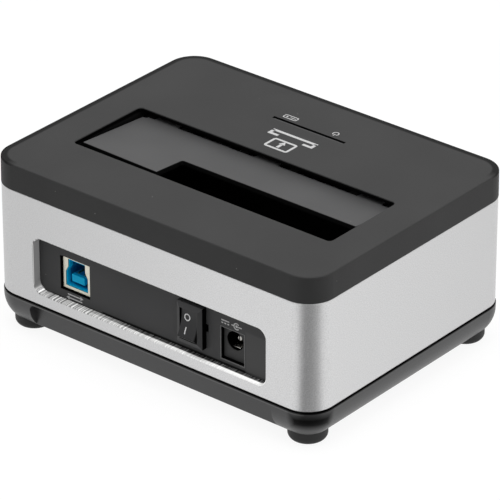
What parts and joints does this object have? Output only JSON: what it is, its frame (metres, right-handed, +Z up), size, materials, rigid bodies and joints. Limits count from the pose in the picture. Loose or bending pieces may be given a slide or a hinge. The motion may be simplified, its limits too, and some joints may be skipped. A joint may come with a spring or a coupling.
{
  "type": "hard drive docking station",
  "caption": "Upright docking station for bare drives: aluminium sleeve, black cap with a sprung slot door, rear data socket, rocker switch and power inlet, rubber feet.",
  "frame": {"origin": "on the table, under the middle of the body", "axes": "+Z up; +X along the long side; the front faces -Y and the ports are on the rear, facing +Y"},
  "size_m": [0.1354, 0.1028, 0.0622],
  "materials": {
    "cover_plastic": "fine matt texture",
    "blasted_aluminium": "bead blasted, clear anodised",
    "base_plastic": "matt",
    "foot_rubber": "matt",
    "panel_plastic": "matt",
    "flap_plastic": "satin",
    "bay_plastic": "matt",
    "guide_tint": "smoked, gloss",
    "socket_metal": "tin plated",
    "socket_blue": "moulded, satin",
    "contact_gold": "gold plated",
    "inlet_plastic": "moulded",
    "plated_pin": "nickel plated",
    "switch_plastic": "fine satin",
    "spring_steel": "drawn wire",
    "screw_steel": "zinc plated",
    "board_green": "solder mask",
    "chip_black": "moulded epoxy",
    "ferrite_grey": "pressed ferrite",
    "can_aluminium": "drawn can",
    "socket_black": "glass-filled",
    "header_white": "moulded nylon",
    "lead_vinyl": "soft vinyl",
    "led_clear": "clear epoxy"
  },
  "bodies": {
    "housing": {"top_cover": "cover_plastic", "body_sleeve": "blasted_aluminium", "base_tray": "base_plastic", "foot_front_left": "foot_rubber", "foot_front_right": "foot_rubber", "foot_rear_left": "foot_rubber", "foot_rear_right": "foot_rubber", "rear_panel": "panel_plastic", "light_guide": "guide_tint", "usb_shell": "socket_metal", "usb_insulator": "socket_blue", "usb_contacts": "contact_gold", "dc_jack_body": "inlet_plastic", "dc_jack_pin": "plated_pin", "dc_jack_spring": "plated_pin", "switch_housing": "switch_plastic", "drive_bay": "bay_plastic", "flap_hinge_pin": "spring_steel", "flap_spring": "spring_steel", "main_board": "board_green", "board_screws": "screw_steel", "sata_socket": "socket_black", "sata_contacts": "contact_gold", "bridge_chip": "chip_black", "regulator_chips": "chip_black", "power_inductors": "ferrite_grey", "capacitors": "can_aluminium", "clock_crystal": "can_aluminium", "switch_terminals": "plated_pin", "switch_leads": "lead_vinyl", "switch_header": "header_white", "led_board": "board_green", "led_board_screws": "screw_steel", "power_led": "led_clear", "drive_led": "led_clear", "led_header": "header_white", "led_leads": "lead_vinyl", "main_led_header": "header_white", "bay_screws": "screw_steel", "case_screws": "screw_steel"},
    "flap": {"flap_door": "flap_plastic"},
    "rocker": {"switch_rocker": "switch_plastic"}
  },
  "joints": [
    {"name": "flap_swing", "type": "hinge", "parent": "housing", "child": "flap", "pos_m": [-0.00097, -0.0099, 0.05701], "axis": [-1, 0, 0], "range_deg": [0, 94], "stiffness_Nm_per_rad": 0.003, "springref_deg": -57.3, "deforming": ["flap_spring"]},
    {"name": "switch_rock", "type": "hinge", "parent": "housing", "child": "rocker", "pos_m": [-0.0168, 0.04745, 0.0292], "axis": [-1, 0, 0], "range_deg": [0, 24]}
  ]
}
